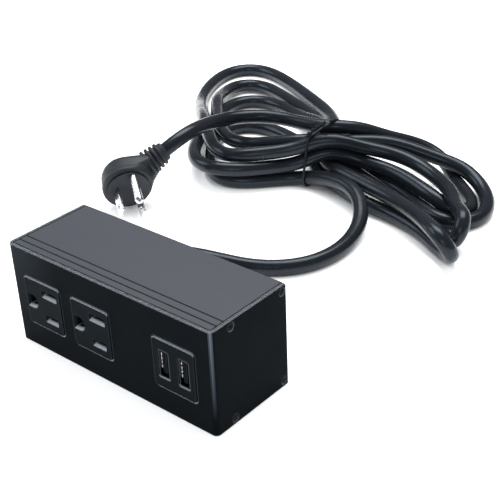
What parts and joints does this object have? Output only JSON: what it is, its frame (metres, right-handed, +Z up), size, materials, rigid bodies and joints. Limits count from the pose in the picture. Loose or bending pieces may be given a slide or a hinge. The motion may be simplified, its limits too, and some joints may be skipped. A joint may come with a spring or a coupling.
{
  "type": "power strip",
  "caption": "Black metal box with two three-pin outlets and two upright USB ports in its long face, on a mains cord tied in a hank that ends in a moulded plug.",
  "frame": {"origin": "centre of the box's underside, on the surface it stands on; the cord, its plug and its bushing are left out of this box", "axes": "+X along the box from the outlets to the USB ports, +Y from the socket face to the rear where the cord leaves, +Z up"},
  "size_m": [0.2823, 0.3408, 0.0508],
  "materials": {
    "black_metal": "satin black coated sheet",
    "cover_metal": "blue-grey anodised extrusion",
    "screw_steel": "black zinc plating",
    "black_plastic": "moulded black",
    "brass": "bare strip",
    "spring_steel": "bare spring wire",
    "board_green": "solder mask",
    "nickel": "nickel plating",
    "ferrite": "taped winding and core",
    "capacitor_sleeve": "shrink sleeve",
    "line_pvc": "black insulation",
    "neutral_pvc": "white insulation",
    "ground_pvc": "green insulation",
    "cord_pvc": "glossy flexible jacket",
    "plug_pvc": "matt moulded PVC"
  },
  "bodies": {
    "strip": {"main_extrusion": "cover_metal", "front_fascia": "black_metal", "end_screw_left_front_bottom": "screw_steel", "end_screw_left_front_top": "screw_steel", "end_screw_left_rear_bottom": "screw_steel", "end_screw_left_rear_top": "screw_steel", "end_screw_right_front_bottom": "screw_steel", "end_screw_right_front_top": "screw_steel", "end_screw_right_rear_bottom": "screw_steel", "end_screw_right_rear_top": "screw_steel", "usb_bezel": "black_plastic", "usb_port_shell_left": "nickel", "usb_port_shell_right": "nickel", "usb_tongue_left": "black_plastic", "usb_tongue_right": "black_plastic", "usb_circuit_board": "board_green", "usb_transformer": "ferrite", "usb_input_capacitor": "capacitor_sleeve", "usb_output_capacitor": "capacitor_sleeve", "line_wire": "line_pvc", "neutral_wire": "neutral_pvc", "ground_wire": "ground_pvc", "cord_strain_relief": "plug_pvc", "cord_box_lead": "cord_pvc", "cord_hank": "cord_pvc", "cord_plug_lead": "cord_pvc", "twist_tie": "line_pvc", "plug_body": "plug_pvc", "plug_face": "plug_pvc", "plug_line_blade": "nickel", "plug_neutral_blade": "nickel", "plug_ground_pin": "nickel", "outlet_1_body": "black_plastic", "outlet_1_rear_cover": "black_plastic", "outlet_1_line_contact": "brass", "outlet_1_neutral_contact": "brass", "outlet_1_ground_contact": "brass", "outlet_1_shutter_spring": "spring_steel", "outlet_2_body": "black_plastic", "outlet_2_rear_cover": "black_plastic", "outlet_2_line_contact": "brass", "outlet_2_neutral_contact": "brass", "outlet_2_ground_contact": "brass", "outlet_2_shutter_spring": "spring_steel"},
    "shutter_1": {"outlet_1_shutter": "black_plastic"},
    "shutter_2": {"outlet_2_shutter": "black_plastic"}
  },
  "joints": [
    {"name": "shutter_1_slide", "type": "slide", "parent": "strip", "child": "shutter_1", "axis": [0, 0, 1], "range_m": [0, 0.0024], "stiffness_N_per_m": 80, "springref_m": -0.001, "deforming": ["outlet_1_shutter_spring"]},
    {"name": "shutter_2_slide", "type": "slide", "parent": "strip", "child": "shutter_2", "axis": [0, 0, 1], "range_m": [0, 0.0024], "stiffness_N_per_m": 80, "springref_m": -0.001, "deforming": ["outlet_2_shutter_spring"]}
  ]
}
